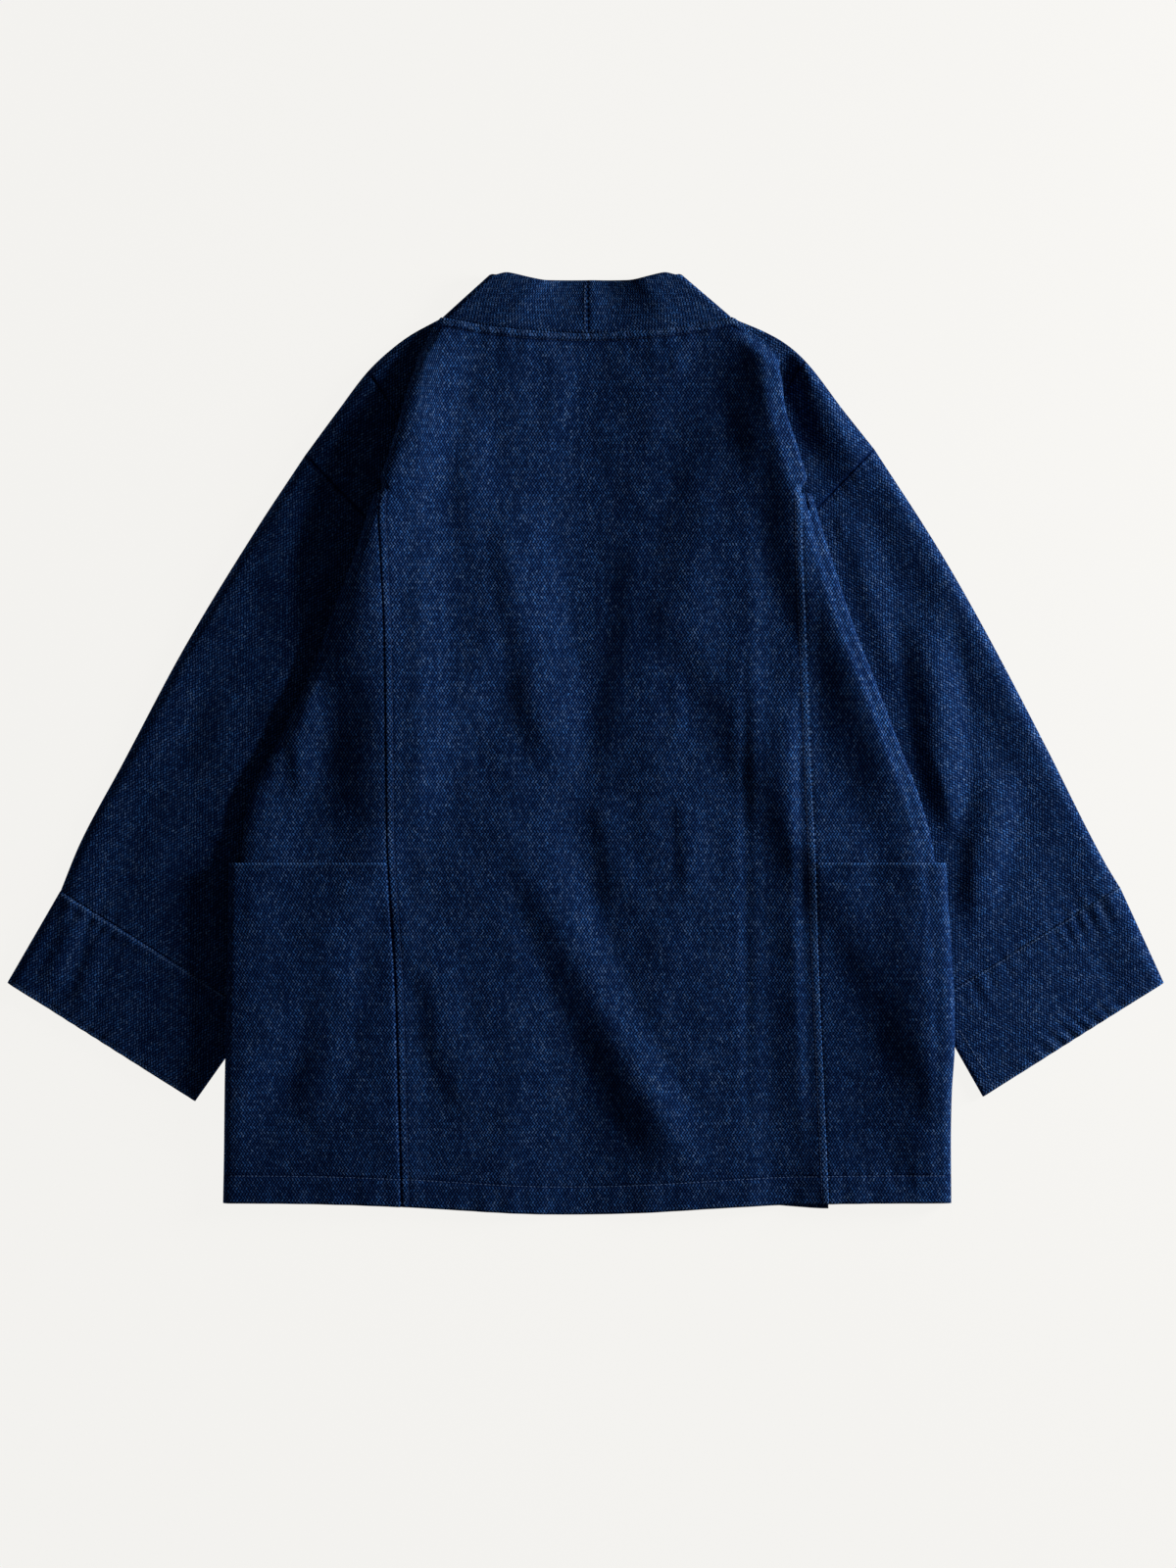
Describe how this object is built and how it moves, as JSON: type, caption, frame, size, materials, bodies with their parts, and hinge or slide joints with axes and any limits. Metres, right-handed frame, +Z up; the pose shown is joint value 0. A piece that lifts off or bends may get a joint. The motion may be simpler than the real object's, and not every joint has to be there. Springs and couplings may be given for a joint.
{
  "type": "haori",
  "caption": "Short wide-sleeved haori of heavy indigo cloth laid face down, with a band collar, wrapped side pockets and sleeves drawn down.",
  "frame": {"origin": "middle of the garment's outline, on the surface it lies on", "axes": "+X across the sleeves, towards the right side seen from above; +Y towards the collar; +Z up from the surface, out of the back"},
  "size_m": [0.9904, 0.8091, 0.0273],
  "materials": {
    "body_cloth": "coarse indigo cotton with a fine zigzag of lighter stitches, matt",
    "sleeve_cloth": "the same cloth, cut on the sleeve's own grain",
    "pocket_cloth": "the same cloth, folded over and stitched along the top",
    "collar_cloth": "the same cloth doubled into a band"
  },
  "bodies": {
    "root": {"back_centre": "body_cloth", "side_panel_left": "body_cloth", "side_panel_right": "body_cloth", "front_left": "body_cloth", "front_right": "body_cloth", "centre_shoulder_left": "body_cloth", "centre_shoulder_right": "body_cloth", "side_shoulder_left": "body_cloth", "side_shoulder_right": "body_cloth", "sleeve_left": "sleeve_cloth", "sleeve_right": "sleeve_cloth", "cuff_left": "sleeve_cloth", "cuff_right": "sleeve_cloth", "pocket_left": "pocket_cloth", "pocket_right": "pocket_cloth", "collar_left": "collar_cloth", "collar_right": "collar_cloth"}
  },
  "joints": []
}
